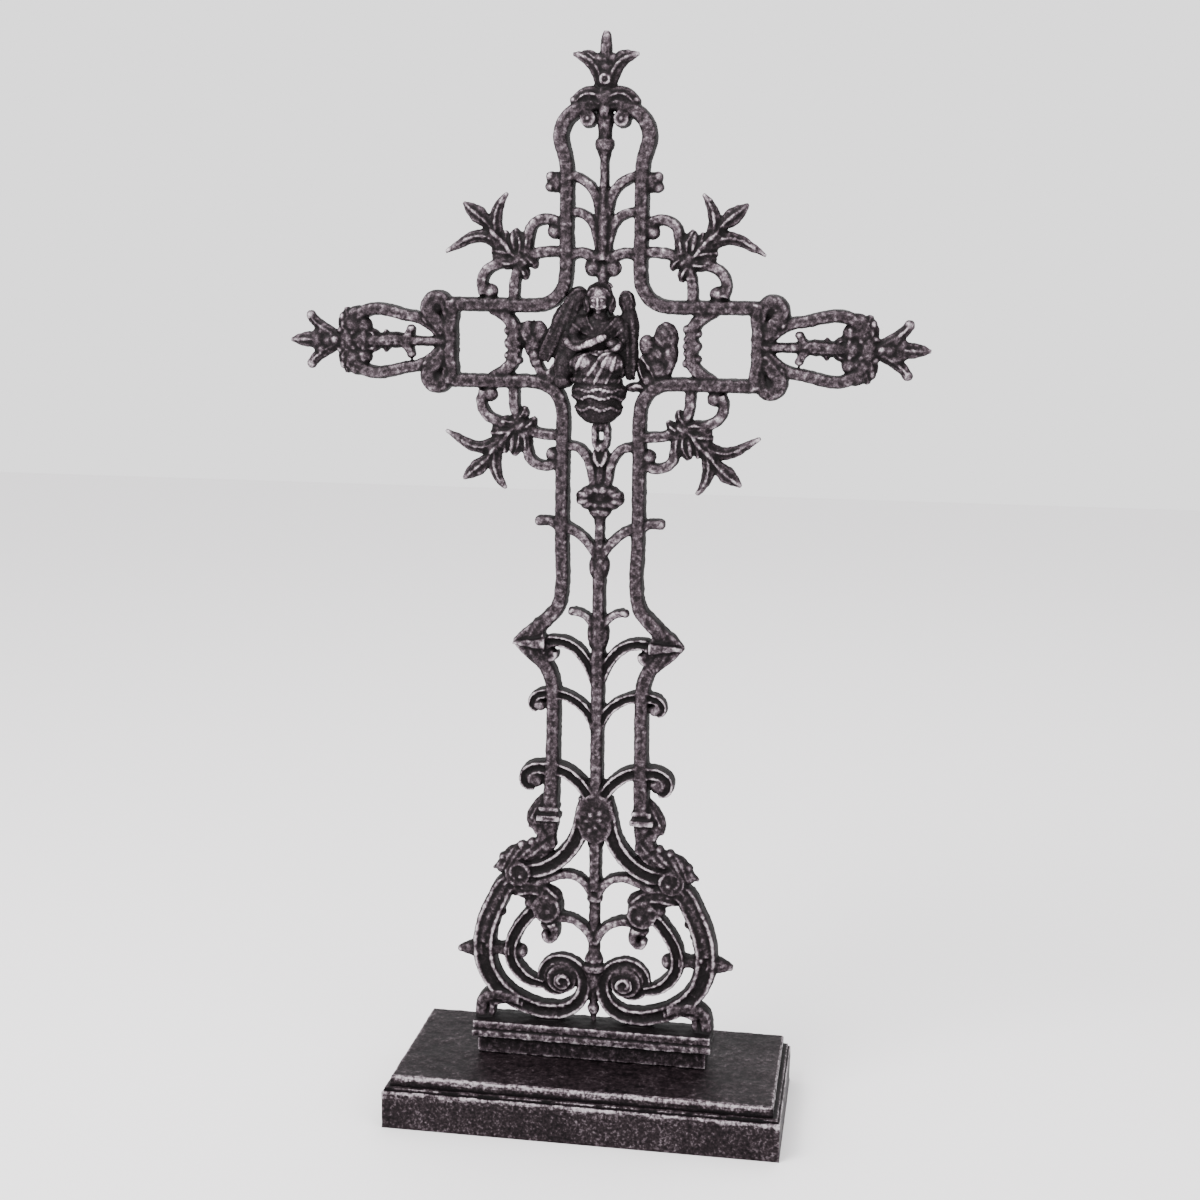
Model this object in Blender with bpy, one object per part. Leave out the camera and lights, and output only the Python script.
"""Openwork cast iron cross on a stepped plinth, in metres, +Z up.

The cross is one casting that stands upright in the plane y = 0, with its face towards -Y.
The plinth is a separate casting under its foot bar. The origin is at the middle of the
plinth's underside, and the whole object mirrors left to right but for the angel.
"""

import math

import bmesh
import bpy
from mathutils import Matrix

# Plinth
PLINTH_LENGTH = 0.2235
PLINTH_DEPTH = 0.105
PLINTH_BLOCK_HEIGHT = 0.022
PLINTH_STEP_INSET = 0.0062
PLINTH_STEP_HEIGHT = 0.008
PLINTH_LIP_INSET = 0.0020
PLINTH_LIP_HEIGHT = 0.0016
SEAT_GAP = 0.0003

# Foot bar of the cross
FOOT_LENGTH = 0.138
FOOT_DEPTH = 0.018
FOOT_BLOCK_HEIGHT = 0.0107
FOOT_MOULDING_HEIGHT = 0.009
FOOT_MOULDING_REACH = 0.003
FOOT_MOULDING_GROOVE = 0.0012

# Heights of the stages of the cross, one above the other
SCROLL_HEIGHT = 0.128
LOWER_SHAFT_HEIGHT = 0.072
KNEE_HEIGHT = 0.050
SHAFT_HEIGHT = 0.1167
CROSSING_HEIGHT = 0.0412
HEAD_HEIGHT = 0.0752
ARCH_HEIGHT = 0.030
FINIAL_HEIGHT = 0.0370

# Reaches of its stages to the side
SCROLL_REACH = 0.064
LOWER_SHAFT_SPREAD = 0.0250
KNEE_REACH = 0.040
SHAFT_SPREAD = 0.0212
HEAD_SPREAD = 0.0202
ARM_REACH = 0.085
ARM_TERMINAL_LENGTH = 0.056
ARM_TERMINAL_SPREAD = 0.0188
ARM_FINIAL_LENGTH = 0.034
CORNER_RADIUS = 0.016
CORNER_REACH = 0.047
LILY_REACH = 0.080
STUD_REACH = 0.0105
BRACKET_REACH = 0.037

# Sections of the ribs
RAIL_WIDTH = 0.0074
RAIL_DEPTH = 0.0100
BRANCH_WIDTH = 0.0054
BRANCH_DEPTH = 0.0084
STEM_WIDTH = 0.0062
STEM_DEPTH = 0.0090
SCROLL_WIDTH = 0.0112
SCROLL_DEPTH = 0.0106
LEAF_DEPTH = 0.0072
POD_WIDTH = 0.0028
HOOK_WIDTH = 0.0046

# Widths of the leaves and petals
LILY_LEAF_WIDTH = 0.0078
LILY_PETAL_WIDTH = 0.0056
LILY_SIDE_PETAL_WIDTH = 0.0064
CAP_LEAF_WIDTH = 0.0085
HEAD_PETAL_WIDTH = 0.0058
HEAD_SPIKE_WIDTH = 0.0072
HEAD_DROP_WIDTH = 0.0070
ARM_PETAL_WIDTH = 0.0048
ARM_LEAF_WIDTH = 0.0115
ARM_TIP_WIDTH = 0.0056
ARM_SPIKE_WIDTH = 0.0074
HEART_LEAF_WIDTH = 0.0140
SIDE_LEAF_WIDTH = 0.0100
ACANTHUS_WIDTH = 0.0120
SIDE_CONE_WIDTH = 0.0104

# Radii of the round bosses
SMALL_VOLUTE_RADIUS = 0.0052
HEAD_BOSS_RADIUS = 0.0048
EAR_RADIUS = 0.0058
HOOK_BALL_RADIUS = 0.0036
CURL_BALL_RADIUS = 0.0056
SCROLL_END_RADIUS = 0.0084
SCROLL_EYE_RADIUS = 0.0094
RING_END_RADIUS = 0.0096

# Half sizes of the turned swellings on the stem, across, out and up
FLOWER_REACH = (0.0125, 0.0075, 0.0064)
COLLAR_REACH = (0.0064, 0.0062, 0.0040)
UPPER_BUD_REACH = (0.0056, 0.0060, 0.0070)
KNEE_BUD_REACH = (0.0058, 0.0062, 0.0090)
ROSETTE_REACH = (0.0085, 0.0078, 0.0125)
TUBE_BEAD_REACH = (0.0046, 0.0062, 0.0050)
STEM_BEAD_REACH = (0.0056, 0.0066, 0.0056)

# Capitals where the rails meet the scrolls
CAPITAL_LENGTH = 0.0140
CAPITAL_HEIGHT = 0.0066
CAPITAL_FRONT = 0.0062
CAPITAL_BACK = 0.0054

# Draft: half the width of a bar at its back and at its face, and the face of a disc
BACK_SHARE = 0.54
FACE_SHARE = 0.36
DISC_FACE_SHARE = 0.86

# Paint, as linear red, green and blue, with its roughness and metallic share
CROSS_PAINT = ((0.055, 0.047, 0.050), 0.55, 0.3)
PLINTH_PAINT = ((0.075, 0.066, 0.066), 0.6, 0.3)

# Angel at the crossing
ANGEL_HEIGHT = 0.072
ANGEL_RELIEF = 0.016

# Levels and places that follow from the sizes above
PLINTH_TOP = PLINTH_BLOCK_HEIGHT + PLINTH_STEP_HEIGHT
FOOT_BOTTOM = PLINTH_TOP + SEAT_GAP
FOOT_TOP = FOOT_BOTTOM + FOOT_BLOCK_HEIGHT + FOOT_MOULDING_HEIGHT
SCROLL_TOP = FOOT_TOP + SCROLL_HEIGHT
KNEE_BOTTOM = SCROLL_TOP + LOWER_SHAFT_HEIGHT
KNEE_TOP = KNEE_BOTTOM + KNEE_HEIGHT
ARM_LOW = KNEE_TOP + SHAFT_HEIGHT
ARM_MIDDLE = ARM_LOW + CROSSING_HEIGHT / 2
ARM_HIGH = ARM_LOW + CROSSING_HEIGHT
HEAD_TOP = ARM_HIGH + HEAD_HEIGHT
ARCH_TOP = HEAD_TOP + ARCH_HEIGHT
CROSS_TOP = ARCH_TOP + FINIAL_HEIGHT
ARM_SPREAD = CROSSING_HEIGHT / 2
ARM_END = ARM_REACH + ARM_TERMINAL_LENGTH

WELD = 0.000002


def clear_scene():
    for thing in list(bpy.data.objects):
        bpy.data.objects.remove(thing)


def new_collection(name):
    collection = bpy.data.collections.new(name)
    bpy.context.scene.collection.children.link(collection)
    return collection


def material(name, colour, roughness, metallic):
    surface = bpy.data.materials.new(name)
    surface.use_nodes = True
    shader = surface.node_tree.nodes["Principled BSDF"]
    shader.inputs["Base Color"].default_value = (*colour, 1.0)
    shader.inputs["Roughness"].default_value = roughness
    shader.inputs["Metallic"].default_value = metallic
    return surface


def add_object(name, mesh, collection):
    thing = bpy.data.objects.new(name, mesh)
    collection.objects.link(thing)
    return thing


def mesh_from(build):
    """Returns a new mesh that the given function has filled through bmesh."""
    mesh = bpy.data.meshes.new("shape")
    shape = bmesh.new()
    build(shape)
    shape.to_mesh(mesh)
    shape.free()
    return mesh


def section(width, depth):
    """A closed section with draft: the flat back is the widest, the face the narrowest.
    Its local y points out of the face."""
    back = width * BACK_SHARE
    face = width * FACE_SHARE
    corners = ((-back, -0.5), (back, -0.5), (face, 0.5), (-face, 0.5))
    curve = bpy.data.curves.new("section", "CURVE")
    curve.dimensions = "2D"
    curve.fill_mode = "NONE"
    line = curve.splines.new("POLY")
    line.points.add(len(corners) - 1)
    for point, (across, out) in zip(line.points, corners):
        point.co = (across, out * depth, 0, 1)
    line.use_cyclic_u = True
    return add_object("section", curve, bpy.context.scene.collection)


def rib(points, width, depth, parts, tapers=None, y=0.0):
    """A cast bar swept along points (x, z), with its width and depth scaled by the tapers."""
    outline = section(width, depth)
    curve = bpy.data.curves.new("rib", "CURVE")
    curve.dimensions = "2D"
    curve.fill_mode = "NONE"
    curve.bevel_mode = "OBJECT"
    curve.bevel_object = outline
    curve.use_fill_caps = True
    curve.resolution_u = 1
    line = curve.splines.new("BEZIER")
    line.bezier_points.add(len(points) - 1)
    scales = tapers or [1.0] * len(points)
    for knot, (x, z), scale in zip(line.bezier_points, points, scales):
        knot.co = (x, z, 0)
        knot.handle_left_type = "AUTO"
        knot.handle_right_type = "AUTO"
        knot.radius = scale
    swept = add_object("rib", curve, bpy.context.scene.collection)
    swept.rotation_euler = (math.pi / 2, 0, 0)
    swept.location = (0, y, 0)
    bpy.context.view_layer.update()
    mesh = bpy.data.meshes.new_from_object(swept.evaluated_get(bpy.context.evaluated_depsgraph_get()))
    mesh.transform(swept.matrix_world)
    bpy.data.objects.remove(swept)
    bpy.data.objects.remove(outline)
    shape = bmesh.new()
    shape.from_mesh(mesh)
    bmesh.ops.remove_doubles(shape, verts=shape.verts, dist=WELD)
    bmesh.ops.recalc_face_normals(shape, faces=shape.faces)
    shape.to_mesh(mesh)
    shape.free()
    return add_object("rib", mesh, parts)


def box(x, z, length, height, front, back, parts):
    """A block centred on x, standing on z, from y = front to y = back."""
    size = Matrix.Diagonal((length, back - front, height, 1))
    place = Matrix.Translation((x, (front + back) / 2, z + height / 2))
    mesh = mesh_from(lambda shape: bmesh.ops.create_cube(shape, size=1, matrix=place @ size))
    return add_object("box", mesh, parts)


def disc(x, z, radius, depth, parts, sides=9, y=0.0):
    """A flat round boss facing -Y, a little narrower at its face."""
    turn = Matrix.Translation((x, y, z)) @ Matrix.Rotation(math.pi / 2, 4, "X")
    mesh = mesh_from(lambda shape: bmesh.ops.create_cone(
        shape, cap_ends=True, segments=sides, radius1=radius, radius2=radius * DISC_FACE_SHARE,
        depth=depth, matrix=turn))
    return add_object("disc", mesh, parts)


def knob(x, z, reach, parts, y=0.0, turn=0.0, sides=8, rings=4):
    """An egg-shaped lump with half sizes reach = (x, y, z), turned about Y."""
    place = Matrix.Translation((x, y, z)) @ Matrix.Rotation(turn, 4, "Y")
    place = place @ Matrix.Diagonal((*reach, 1)) @ Matrix.Rotation(math.pi / 2, 4, "X")
    mesh = mesh_from(lambda shape: bmesh.ops.create_uvsphere(
        shape, u_segments=sides, v_segments=rings, radius=1, matrix=place))
    return add_object("knob", mesh, parts)


def arc(x, z, radius, start, end, count):
    """Points on an arc about (x, z), from start to end in degrees."""
    angles = [math.radians(start + (end - start) * step / (count - 1)) for step in range(count)]
    return [(x + radius * math.cos(angle), z + radius * math.sin(angle)) for angle in angles]


def placed(shares, origin, reach):
    """Turns shares of a group's reach (x, z) into points measured from its origin."""
    return [(origin[0] + reach[0] * across, origin[1] + reach[1] * up) for across, up in shares]


def mirrored(points, side):
    return [(side * x, z) for x, z in points]


def sideways(points, side, high):
    """Points (outward, off centre) of an arm, in the cross's own x and z."""
    return [(side * x, ARM_MIDDLE + high * offset) for x, offset in points]


def rails(side, parts):
    """The outline of one half: the shaft, the two arm rails, the head and its arch."""
    corner_x = HEAD_SPREAD + CORNER_RADIUS
    upper = [(ARM_REACH, ARM_HIGH)]
    upper += arc(corner_x, ARM_HIGH + CORNER_RADIUS, CORNER_RADIUS, 270, 180, 5)
    upper += [(HEAD_SPREAD, HEAD_TOP)]
    arch = ((1.06, 0.13), (1.2, 0.38), (1.12, 0.62), (0.85, 0.86), (0.42, 1.0), (0, 1.04))
    upper += placed(arch, (0, HEAD_TOP), (HEAD_SPREAD, ARCH_HEIGHT))
    rib(mirrored(upper, side), RAIL_WIDTH, RAIL_DEPTH, parts)

    corner_x = SHAFT_SPREAD + CORNER_RADIUS
    lower = [(ARM_REACH, ARM_LOW)]
    lower += arc(corner_x, ARM_LOW - CORNER_RADIUS, CORNER_RADIUS, 90, 180, 5)
    lower += [(SHAFT_SPREAD, KNEE_TOP)]
    bend = ((0.0, 0.86), (0.42, 0.72), (1.0, 0.44), (0.42, 0.22), (0.08, 0.10), (0.0, -0.08))
    for share, rise in bend:
        near = SHAFT_SPREAD if rise > 0.44 else LOWER_SHAFT_SPREAD
        lower.append((near + (KNEE_REACH - near) * share, KNEE_BOTTOM + KNEE_HEIGHT * rise))
    lower += [(LOWER_SHAFT_SPREAD, SCROLL_TOP)]
    lower += placed(((0.42, 0.93), (0.45, 0.86), (0.42, 0.78)), (0, FOOT_TOP), (SCROLL_REACH, SCROLL_HEIGHT))
    rib(mirrored(lower, side), RAIL_WIDTH, RAIL_DEPTH, parts)


def corner(side, high, parts):
    """The ring, two curls and lily spray in one inner corner of the cross."""
    spread = HEAD_SPREAD if high > 0 else SHAFT_SPREAD
    rail_z = ARM_SPREAD
    reach = (CORNER_REACH, CORNER_REACH)
    origin = (spread, rail_z)

    ring = ((0.0, 0.60), (0.18, 0.585), (0.37, 0.56), (0.50, 0.50), (0.56, 0.37), (0.60, 0.18), (0.61, 0.0))
    rib(sideways(placed(ring, origin, reach), side, high), BRANCH_WIDTH, BRANCH_DEPTH, parts)
    curl = ((0.50, 0.50), (0.43, 0.66), (0.41, 0.80), (0.33, 0.91), (0.20, 0.94), (0.0, 0.90))
    for swap in (False, True):
        course = [(b, a) if swap else (a, b) for a, b in curl]
        rib(sideways(placed(course, origin, reach), side, high), BRANCH_WIDTH, BRANCH_DEPTH, parts)
        ball = (0.80, 0.11) if swap else (0.11, 0.80)
        (x, z), = sideways(placed((ball,), origin, reach), side, high)
        size = CORNER_REACH * 0.10
        disc(x, z, size, BRANCH_DEPTH * 1.1, parts, sides=6)

    diagonal = math.sqrt(0.5)
    petals = (
        (((0.34, 0.0), (0.52, 0.0), (0.72, 0.0)), (0.8, 1.9, 0.7), LILY_LEAF_WIDTH),
        (((0.64, 0.0), (0.76, 0.0), (0.88, 0.0), (1.0, 0.0)), (0.9, 1.35, 1.1, 0.35), LILY_PETAL_WIDTH),
        (((0.56, 0.0), (0.68, 0.10), (0.80, 0.17), (0.88, 0.29)), (1.1, 1.1, 0.8, 0.3),
         LILY_SIDE_PETAL_WIDTH),
        (((0.56, 0.0), (0.68, -0.10), (0.80, -0.17), (0.88, -0.29)), (1.1, 1.1, 0.8, 0.3),
         LILY_SIDE_PETAL_WIDTH),
    )
    for shares, tapers, width in petals:
        course = []
        for along, across in shares:
            outward = spread + LILY_REACH * (along - across) * diagonal
            course.append((outward, rail_z + LILY_REACH * (along + across) * diagonal))
        rib(sideways(course, side, high), width, LEAF_DEPTH, parts, tapers=tapers)


def head(parts):
    """Everything inside and above the head: branches, hanging bead, cap and finial."""
    inner = (0, ARM_HIGH)
    reach = (HEAD_SPREAD, HEAD_HEIGHT)
    stem = placed(((0, 0.05), (0, 0.35), (0, 1.02)), inner, reach)
    rib(stem, BRANCH_WIDTH, BRANCH_DEPTH, parts)
    for side in (-1, 1):
        branches = (
            ((0.0, 0.70), (0.45, 0.80), (1.0, 0.87)),
            ((0.0, 0.48), (0.25, 0.60), (1.0, 0.66)),
            ((1.0, 0.29), (0.62, 0.35), (0.25, 0.31), (0.0, 0.16)),
        )
        for shares in branches:
            rib(mirrored(placed(shares, inner, reach), side), BRANCH_WIDTH, BRANCH_DEPTH, parts)
        stud_z = ARM_HIGH + HEAD_HEIGHT * 0.86
        stud = [(side * HEAD_SPREAD, stud_z), (side * (HEAD_SPREAD + STUD_REACH), stud_z)]
        rib(stud, RAIL_WIDTH * 1.2, BRANCH_DEPTH, parts, tapers=(0.7, 1.2))

        cap = ((0.0, 1.22), (0.42, 1.20), (0.80, 1.08))
        rib(mirrored(placed(cap, (0, HEAD_TOP), (HEAD_SPREAD, ARCH_HEIGHT)), side), CAP_LEAF_WIDTH,
            RAIL_DEPTH * 1.1,
            parts, tapers=(1.0, 1.0, 0.6))
        volute = placed(((0.44, 0.80),), (0, HEAD_TOP), (HEAD_SPREAD, ARCH_HEIGHT))[0]
        disc(side * volute[0], volute[1], SMALL_VOLUTE_RADIUS, BRANCH_DEPTH * 1.2, parts, sides=8)
        petal = ((0.0, 0.18), (0.13, 0.42), (0.26, 0.58), (0.44, 0.67))
        rib(mirrored(placed(petal, (0, ARCH_TOP), (FINIAL_HEIGHT, FINIAL_HEIGHT)), side), HEAD_PETAL_WIDTH,
            LEAF_DEPTH, parts, tapers=(1.2, 1.0, 0.9, 0.35))
    spike = placed(((0, -0.10), (0, 0.10), (0, 0.50), (0, 0.76), (0, 1.0)), (0, ARCH_TOP),
                   (FINIAL_HEIGHT, FINIAL_HEIGHT))
    rib(spike, HEAD_SPIKE_WIDTH, LEAF_DEPTH * 1.1, parts, tapers=(1.2, 1.2, 0.7, 1.05, 0.4))
    disc(0, ARCH_TOP + FINIAL_HEIGHT * 0.32, HEAD_BOSS_RADIUS, RAIL_DEPTH, parts, sides=8)

    drop = placed(((0, 0.10), (0, 0.28), (0, 0.42), (0, 0.9)), (0, HEAD_TOP), (HEAD_SPREAD, ARCH_HEIGHT))
    rib(drop, HEAD_DROP_WIDTH, BRANCH_DEPTH * 0.94, parts, tapers=(0.5, 1.25, 0.85, 1.0))


def arm_terminal(side, parts):
    """The block, arched loop, inner stem, leaf cluster and finial at one arm's end."""
    long, tall = ARM_TERMINAL_LENGTH, ARM_TERMINAL_SPREAD
    block = [(side * ARM_REACH, ARM_MIDDLE - ARM_SPREAD), (side * ARM_REACH, ARM_MIDDLE + ARM_SPREAD)]
    rib(block, RAIL_WIDTH * 1.05, RAIL_DEPTH * 1.06, parts)
    for high in (-1, 1):
        (x, z), = sideways(((ARM_REACH + long * 0.16, ARM_SPREAD * 0.98),), side, high)
        disc(x, z, EAR_RADIUS, RAIL_DEPTH * 1.2, parts, sides=8)
        arch = ((0.0, 0.22), (0.14, 0.44), (0.23, 0.63), (0.36, 0.83), (0.53, 0.95), (0.71, 1.0),
                (0.86, 0.88), (0.97, 0.58), (1.0, 0.0))
        rib(sideways(placed(arch, (ARM_REACH, 0), (long, tall)), side, high), BRANCH_WIDTH * 1.14,
            BRANCH_DEPTH * 1.1,
            parts)
        petal = ((0.30, 0.0), (0.36, 0.22), (0.39, 0.44))
        rib(sideways(placed(petal, (ARM_REACH, 0), (long, tall)), side, high), ARM_PETAL_WIDTH, LEAF_DEPTH,
            parts, tapers=(1.2, 1.0, 0.6))
        volute = placed(((0.90, 0.34),), (ARM_REACH, 0), (long, tall))
        (x, z), = sideways(volute, side, high)
        disc(x, z, SMALL_VOLUTE_RADIUS, BRANCH_DEPTH * 1.2, parts, sides=8)
        leaf = ((1.05, 0.0), (1.06, 0.50), (0.99, 0.96))
        rib(sideways(placed(leaf, (ARM_REACH, 0), (long, tall)), side, high), ARM_LEAF_WIDTH,
            RAIL_DEPTH * 1.04, parts, tapers=(1.0, 1.1, 0.5))
        tip = ((0.24, 0.0), (0.38, 0.13), (0.55, 0.26), (0.64, 0.42))
        rib(sideways(placed(tip, (ARM_END, 0), (ARM_FINIAL_LENGTH, ARM_FINIAL_LENGTH)), side, high),
            ARM_TIP_WIDTH, LEAF_DEPTH, parts, tapers=(1.2, 1.0, 0.9, 0.35))
    middle = ((0.0, 0.0), (0.36, 0.0), (0.50, 0.0), (0.60, 0.0), (0.68, 0.0), (0.84, 0.0), (1.02, 0.0))
    rib(sideways(placed(middle, (ARM_REACH, 0), (long, tall)), side, 1), BRANCH_WIDTH, BRANCH_DEPTH, parts,
        tapers=(1.0, 1.0, 1.0, 1.9, 1.9, 0.9, 1.4))
    spike = ((-0.06, 0), (0.24, 0), (0.52, 0), (0.78, 0), (1.0, 0))
    rib(sideways(placed(spike, (ARM_END, 0), (ARM_FINIAL_LENGTH, ARM_FINIAL_LENGTH)), side, 1),
        ARM_SPIKE_WIDTH, LEAF_DEPTH * 1.1, parts, tapers=(1.2, 1.35, 0.75, 1.1, 0.35))


def bracket(side, parts):
    """The cusped bar across the arm and the heart-shaped leaves beside the angel."""
    bar = ((1.0, 0.86), (0.78, 0.78), (0.68, 0.50), (0.74, 0.28), (0.82, 0.14), (0.84, 0.0))
    half = placed(bar, (HEAD_SPREAD, 0), (BRACKET_REACH, ARM_SPREAD))
    for high in (-1, 1):
        rib(sideways(half, side, high), BRANCH_WIDTH, BRANCH_DEPTH, parts)
    origin = (HEAD_SPREAD, -ARM_SPREAD)
    reach = (BRACKET_REACH, CROSSING_HEIGHT)
    leaves = (
        (((0.28, 0.0), (0.38, 0.24), (0.46, 0.50), (0.42, 0.76)), (0.45, 0.8, 1.15, 0.75), HEART_LEAF_WIDTH),
        (((0.26, 0.0), (0.20, 0.22), (0.12, 0.46), (0.10, 0.62)), (0.5, 0.9, 1.0, 0.7), SIDE_LEAF_WIDTH),
    )
    for shares, tapers, width in leaves:
        rib(sideways(placed(shares, origin, reach), side, 1), width, LEAF_DEPTH, parts, tapers=tapers)


def shaft(parts):
    """The stem in the shaft with its pod, flower, buds and paired branches."""
    low, tall = KNEE_TOP, SHAFT_HEIGHT
    stem = [(0, FOOT_TOP + SCROLL_HEIGHT * 0.30), (0, SCROLL_TOP), (0, KNEE_TOP), (0, ARM_LOW - tall * 0.16)]
    rib(stem, STEM_WIDTH, STEM_DEPTH, parts, tapers=(0.9, 1.15, 0.95, 0.9))
    inner, reach = (0, low), (SHAFT_SPREAD, tall)
    lower_inner, lower_reach = (0, KNEE_BOTTOM), (LOWER_SHAFT_SPREAD, KNEE_HEIGHT)
    for side in (-1, 1):
        branches = (
            ((0.0, 0.54), (0.33, 0.67), (0.66, 0.71), (1.0, 0.72)),
            ((0.0, 0.19), (0.40, 0.26), (1.0, 0.34)),
        )
        for shares in branches:
            rib(mirrored(placed(shares, inner, reach), side), BRANCH_WIDTH, BRANCH_DEPTH, parts)
        hooks = ((1.0, -0.13), (0.72, -0.18), (0.40, -0.26), (0.0, -0.44))
        rib(mirrored(placed(hooks, lower_inner, lower_reach), side), BRANCH_WIDTH * 1.1, BRANCH_DEPTH, parts)
        big = ((0.0, 0.16), (0.30, 0.40), (0.62, 0.55), (1.0, 0.52), (1.24, 0.42))
        rib(mirrored(placed(big, lower_inner, lower_reach), side), BRANCH_WIDTH * 1.15, BRANCH_DEPTH, parts)
        free = ((0.0, 0.64), (0.16, 0.76), (0.42, 0.80), (0.58, 0.83))
        rib(mirrored(placed(free, lower_inner, lower_reach), side), BRANCH_WIDTH * 0.86,
            BRANCH_DEPTH * 0.9, parts,
            tapers=(1.0, 1.0, 1.0, 1.2))
        stub_z = low + tall * 0.35
        stub = [(side * SHAFT_SPREAD, stub_z), (side * (SHAFT_SPREAD + STUD_REACH * 1.25), stub_z)]
        rib(stub, BRANCH_WIDTH, BRANCH_DEPTH, parts)
        hook_z = KNEE_BOTTOM - KNEE_HEIGHT * 0.13
        hook = [(LOWER_SHAFT_SPREAD, hook_z), (LOWER_SHAFT_SPREAD + STUD_REACH * 0.7, hook_z),
                (LOWER_SHAFT_SPREAD + STUD_REACH * 1.1, hook_z - STUD_REACH * 0.5)]
        rib(mirrored(hook, side), BRANCH_WIDTH * 1.1, BRANCH_DEPTH, parts)
        ball = (HOOK_BALL_RADIUS, BRANCH_DEPTH * 0.6, HOOK_BALL_RADIUS)
        knob(side * hook[1][0], hook_z - STUD_REACH * 0.5, ball, parts)
        gem_z = KNEE_BOTTOM + KNEE_HEIGHT * 0.44
        gem = [(side * (KNEE_REACH - KNEE_HEIGHT * 0.20), gem_z), (side * KNEE_REACH, gem_z),
               (side * (KNEE_REACH + KNEE_HEIGHT * 0.16), gem_z)]
        rib(gem, KNEE_HEIGHT * 0.42, RAIL_DEPTH * 1.12, parts, tapers=(0.7, 0.8, 0.15))
        pod = placed(((0.0, 0.71), (0.13, 0.745), (0.13, 0.80), (0.0, 0.84)), inner, reach)
        rib(mirrored(pod, side), POD_WIDTH, BRANCH_DEPTH * 0.9, parts)
    neck = placed(((0, 0.82), (0, 1.0)), inner, reach)
    rib(neck, BRANCH_WIDTH, BRANCH_DEPTH * 0.9, parts)
    knob(0, low + tall * 0.47, FLOWER_REACH, parts, sides=10)
    knob(0, low + tall * 0.39, COLLAR_REACH, parts)
    knob(0, low + tall * 0.14, UPPER_BUD_REACH, parts)
    knob(0, KNEE_BOTTOM + KNEE_HEIGHT * 0.52, KNEE_BUD_REACH, parts)


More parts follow.
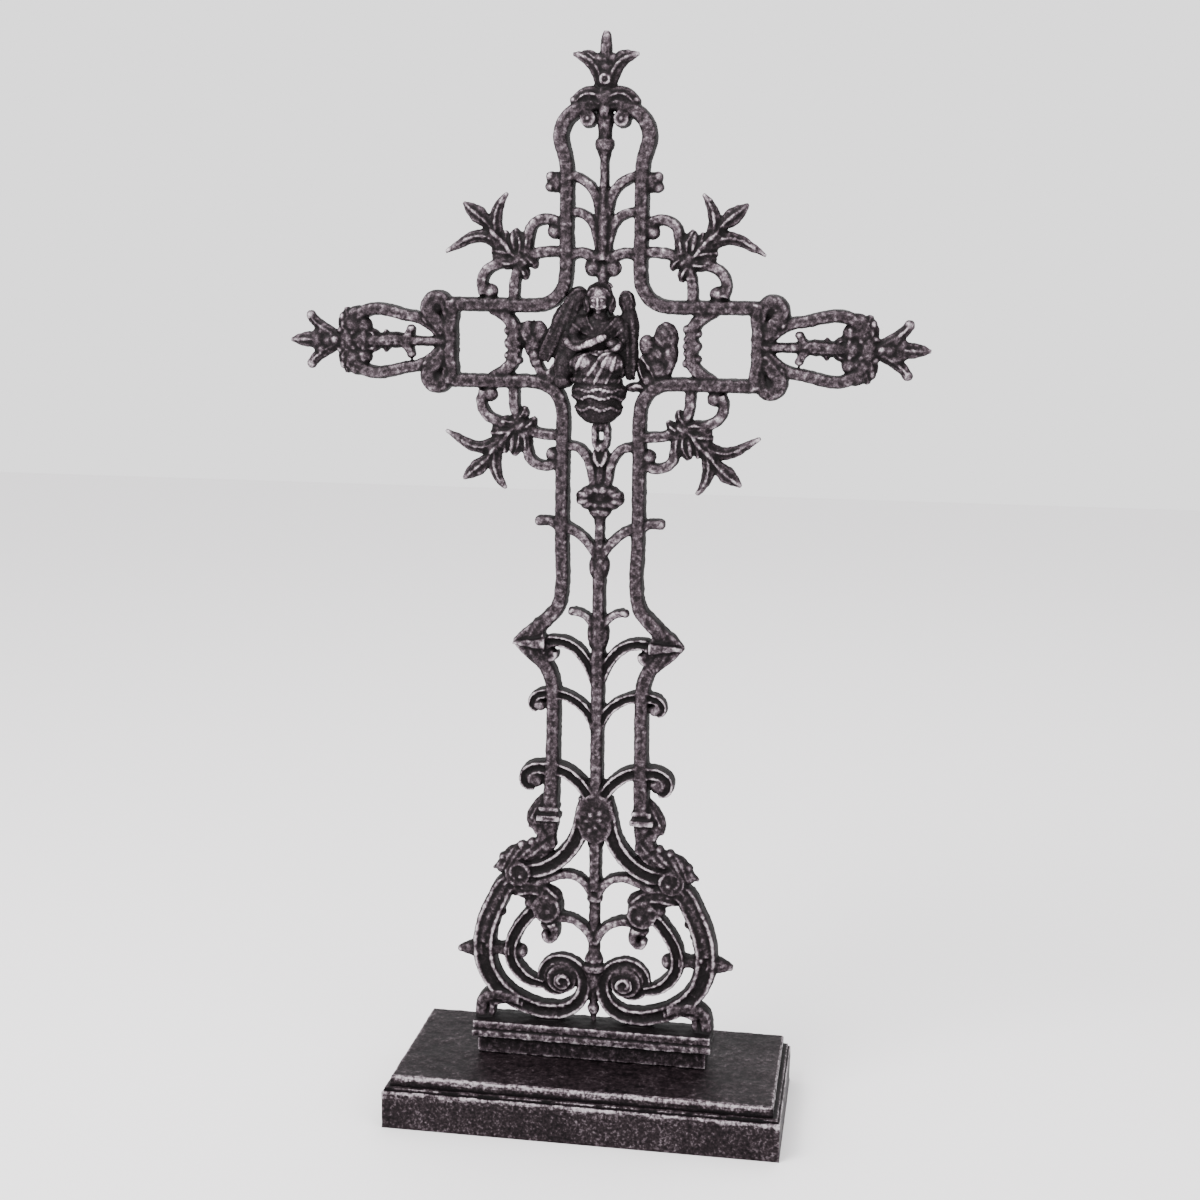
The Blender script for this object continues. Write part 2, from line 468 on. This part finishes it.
def scroll_foot(parts):
    """The scrolls between the shaft and the foot bar."""
    origin, reach = (0, FOOT_TOP), (SCROLL_REACH, SCROLL_HEIGHT)

    def both(shares, width, depth, tapers=None):
        for side in (-1, 1):
            rib(mirrored(placed(shares, origin, reach), side), width, depth, parts, tapers=tapers)

    def discs(across, up, radius, depth):
        for side in (-1, 1):
            disc(side * reach[0] * across, origin[1] + reach[1] * up, radius, depth, parts)

    def knobs(across, up, radius):
        for side in (-1, 1):
            size = (radius, SCROLL_DEPTH * 0.56, radius)
            knob(side * reach[0] * across, origin[1] + reach[1] * up, size, parts)

    both(((0.0, 1.0), (0.12, 1.07), (0.23, 1.135), (0.40, 1.175), (0.54, 1.165), (0.61, 1.12)),
         BRANCH_WIDTH * 1.35, SCROLL_DEPTH * 0.94)
    knobs(0.55, 1.125, CURL_BALL_RADIUS)
    both(((0.08, 1.05), (0.125, 0.94), (0.18, 0.85), (0.27, 0.775), (0.40, 0.725), (0.54, 0.705),
          (0.68, 0.69)),
         RAIL_WIDTH * 1.16, SCROLL_DEPTH * 0.98)
    discs(0.69, 0.685, SCROLL_END_RADIUS, SCROLL_DEPTH * 1.1)
    both(((0.40, 0.84), (0.54, 0.80), (0.73, 0.76), (0.88, 0.70)), ACANTHUS_WIDTH, LEAF_DEPTH * 1.2,
         tapers=(0.7, 1.0, 1.0, 0.35))
    both(((0.40, 1.04), (0.50, 0.99), (0.55, 0.92), (0.46, 0.86)), BRANCH_WIDTH * 1.5, BRANCH_DEPTH,
         tapers=(0.5, 1.0, 1.0, 0.6))
    both(((0.70, 0.69), (0.83, 0.58), (0.92, 0.45), (0.985, 0.33), (0.97, 0.24), (0.88, 0.15), (0.73, 0.080),
          (0.50, 0.045), (0.27, 0.050), (0.12, 0.11), (0.08, 0.19), (0.13, 0.26), (0.26, 0.30),
           (0.40, 0.275),
          (0.47, 0.21), (0.42, 0.155)),
         SCROLL_WIDTH, SCROLL_DEPTH,
         tapers=(0.8, 0.95, 1.0, 1.0, 1.0, 1.0, 1.0, 0.95, 0.88, 0.78, 0.68, 0.62, 0.58, 0.56, 0.54, 0.5))
    discs(0.29, 0.20, SCROLL_EYE_RADIUS, SCROLL_DEPTH * 0.72)
    both(((0.46, 0.57), (0.60, 0.49), (0.695, 0.42), (0.75, 0.33), (0.73, 0.26), (0.64, 0.195),
          (0.48, 0.17)),
         RAIL_WIDTH, RAIL_DEPTH * 0.94)
    discs(0.45, 0.53, RING_END_RADIUS, SCROLL_DEPTH * 1.1)
    both(((0.40, 0.50), (0.36, 0.42), (0.42, 0.375), (0.47, 0.42)), HOOK_WIDTH, BRANCH_DEPTH,
         tapers=(1.2, 1.1, 1.0, 0.8))
    both(((0.42, 0.61), (0.62, 0.61), (0.82, 0.64)), BRANCH_WIDTH * 1.3, BRANCH_DEPTH * 1.1)
    both(((0.60, 0.32), (0.74, 0.32), (0.98, 0.33)), RAIL_WIDTH, BRANCH_DEPTH * 1.06, tapers=(1.0, 0.8, 1.1))
    both(((0.98, 0.31), (1.12, 0.305), (1.24, 0.30)), SIDE_CONE_WIDTH, RAIL_DEPTH * 0.92,
         tapers=(1.1, 0.85, 0.3))
    both(((0.05, 0.57), (0.14, 0.655), (0.30, 0.685), (0.48, 0.67)), BRANCH_WIDTH, BRANCH_DEPTH)
    both(((0.0, 0.36), (0.10, 0.44), (0.22, 0.485), (0.36, 0.49)), BRANCH_WIDTH, BRANCH_DEPTH)
    both(((0.60, 0.06), (0.82, 0.085), (0.98, 0.065), (1.02, -0.03)), BRANCH_WIDTH * 1.2, BRANCH_DEPTH)

    knob(0, FOOT_TOP + SCROLL_HEIGHT * 0.95, ROSETTE_REACH, parts)
    knob(0, FOOT_TOP + SCROLL_HEIGHT * 0.59, TUBE_BEAD_REACH, parts)
    knob(0, FOOT_TOP + SCROLL_HEIGHT * 0.28, STEM_BEAD_REACH, parts)
    rib(placed(((0, 0.04), (0, 0.10), (0, 0.26)), origin, reach), STEM_WIDTH, STEM_DEPTH * 0.96, parts,
        tapers=(1.1, 0.7, 1.0))
    for side in (-1, 1):
        capital_x = side * reach[0] * 0.41
        capital_z = origin[1] + reach[1] * 0.935
        box(capital_x, capital_z, CAPITAL_LENGTH, CAPITAL_HEIGHT, -CAPITAL_FRONT, CAPITAL_BACK, parts)


def foot_bar(parts):
    """The bar that the cross stands on: a block under a grooved moulding."""
    half = FOOT_DEPTH / 2
    box(0, FOOT_BOTTOM, FOOT_LENGTH - 2 * FOOT_MOULDING_REACH, FOOT_BLOCK_HEIGHT + FOOT_MOULDING_HEIGHT / 2,
        -half, half, parts)
    band = (FOOT_MOULDING_HEIGHT - FOOT_MOULDING_GROOVE) / 2
    start = FOOT_BOTTOM + FOOT_BLOCK_HEIGHT
    front = half + FOOT_MOULDING_REACH
    box(0, start, FOOT_LENGTH, band, -front, front, parts)
    box(0, start + band / 2, FOOT_LENGTH - 2 * FOOT_MOULDING_GROOVE, FOOT_MOULDING_HEIGHT - band,
        FOOT_MOULDING_GROOVE - front, front - FOOT_MOULDING_GROOVE, parts)
    inset = FOOT_MOULDING_GROOVE * 0.4
    upper = start + band + FOOT_MOULDING_GROOVE
    box(0, upper, FOOT_LENGTH - 2 * inset, band, inset - front, front - inset, parts)


def angel(parts):
    """A calm angel in half relief on a corbel, its arms folded, in shares of its height."""
    tall = ANGEL_HEIGHT
    base = ARM_MIDDLE - tall * 0.56
    back = RAIL_DEPTH / 2

    def lump(x, z, reach, lift, turn=0.0, sides=8, rings=5):
        size = (tall * reach[0], ANGEL_RELIEF * reach[1], tall * reach[2])
        knob(tall * x, base + tall * z, size, parts, y=-ANGEL_RELIEF * lift, turn=turn, sides=sides,
             rings=rings)

    lump(-0.01, 0.90, (0.090, 0.52, 0.104), 0.50)
    lump(-0.02, 0.66, (0.190, 0.62, 0.190), 0.20)
    lump(-0.01, 0.77, (0.150, 0.50, 0.090), 0.28)
    lump(-0.02, 0.42, (0.205, 0.66, 0.170), 0.22)
    lump(0.07, 0.44, (0.100, 0.56, 0.110), 0.46)
    lump(-0.12, 0.46, (0.090, 0.50, 0.100), 0.44)
    limbs = (
        ((-0.22, 0.70), (-0.23, 0.57), (-0.12, 0.55), (0.0, 0.58)),
        ((0.18, 0.72), (0.17, 0.58), (0.08, 0.54), (-0.03, 0.56)),
    )
    for shares in limbs:
        rib(placed(shares, (0, base), (tall, tall)), tall * 0.085, ANGEL_RELIEF * 0.8, parts,
            tapers=(1.0, 1.0, 0.9, 0.7), y=-ANGEL_RELIEF * 0.42)
    wings = (
        (((-0.18, 0.96), (-0.30, 0.76), (-0.40, 0.56), (-0.50, 0.40)), (0.5, 1.1, 1.0, 0.5)),
        (((0.19, 0.96), (0.24, 0.74), (0.27, 0.50), (0.31, 0.28)), (0.5, 1.1, 1.0, 0.5)),
    )
    for shares, tapers in wings:
        rib(placed(shares, (0, base), (tall, tall)), tall * 0.16, RAIL_DEPTH * 1.1, parts, tapers=tapers)
    steps = ((0.16, 0.215, 0.075, 0.86), (0.085, 0.185, 0.085, 0.72), (0.0, 0.135, 0.10, 0.56))
    for z, half, height, out in steps:
        box(0, base + tall * z, 2 * tall * half, tall * height, -ANGEL_RELIEF * out, back * 0.96, parts)


def build_cross(collection, workshop):
    parts = workshop
    foot_bar(parts)
    for side in (-1, 1):
        rails(side, parts)
        arm_terminal(side, parts)
        bracket(side, parts)
        for high in (-1, 1):
            corner(side, high, parts)
    head(parts)
    shaft(parts)
    scroll_foot(parts)
    angel(parts)
    return unite("cross", parts, collection)


def unite(name, parts, collection):
    """Joins every shape of a collection into one casting, then empties the collection."""
    shapes = list(parts.objects)
    first = shapes[0]
    parts.objects.unlink(first)
    bpy.context.scene.collection.objects.link(first)
    union = first.modifiers.new("union", "BOOLEAN")
    union.operation = "UNION"
    union.operand_type = "COLLECTION"
    union.collection = parts
    union.solver = "EXACT"
    bpy.context.view_layer.update()
    mesh = bpy.data.meshes.new_from_object(first.evaluated_get(bpy.context.evaluated_depsgraph_get()))
    for shape in shapes:
        bpy.data.objects.remove(shape)
    mesh.materials.clear()
    return add_object(name, mesh, collection)


def build_plinth(collection):
    """A stepped block, with a small lip between the block and the upper step."""
    workshop = new_collection("plinth_shapes")
    lip = 2 * PLINTH_LIP_INSET
    step = 2 * PLINTH_STEP_INSET
    lip_height = PLINTH_BLOCK_HEIGHT + PLINTH_LIP_HEIGHT
    box(0, 0, PLINTH_LENGTH, PLINTH_BLOCK_HEIGHT, -PLINTH_DEPTH / 2, PLINTH_DEPTH / 2, workshop)
    box(0, PLINTH_BLOCK_HEIGHT / 2, PLINTH_LENGTH - lip, lip_height - PLINTH_BLOCK_HEIGHT / 2,
        (lip - PLINTH_DEPTH) / 2, (PLINTH_DEPTH - lip) / 2, workshop)
    box(0, PLINTH_BLOCK_HEIGHT / 2, PLINTH_LENGTH - step, PLINTH_TOP - PLINTH_BLOCK_HEIGHT / 2,
        (step - PLINTH_DEPTH) / 2, (PLINTH_DEPTH - step) / 2, workshop)
    return unite("plinth", workshop, collection)


def main():
    clear_scene()
    collection = new_collection("cast_iron_cross")
    workshop = new_collection("cross_shapes")
    cross_iron = material("black_iron", *CROSS_PAINT)
    plinth_iron = material("plinth_iron", *PLINTH_PAINT)
    cross = build_cross(collection, workshop)
    cross.data.materials.append(cross_iron)
    plinth = build_plinth(collection)
    plinth.data.materials.append(plinth_iron)
    for thing in (cross, plinth):
        thing.data.shade_smooth()
        thing.data.set_sharp_from_angle(angle=math.radians(35))


main()
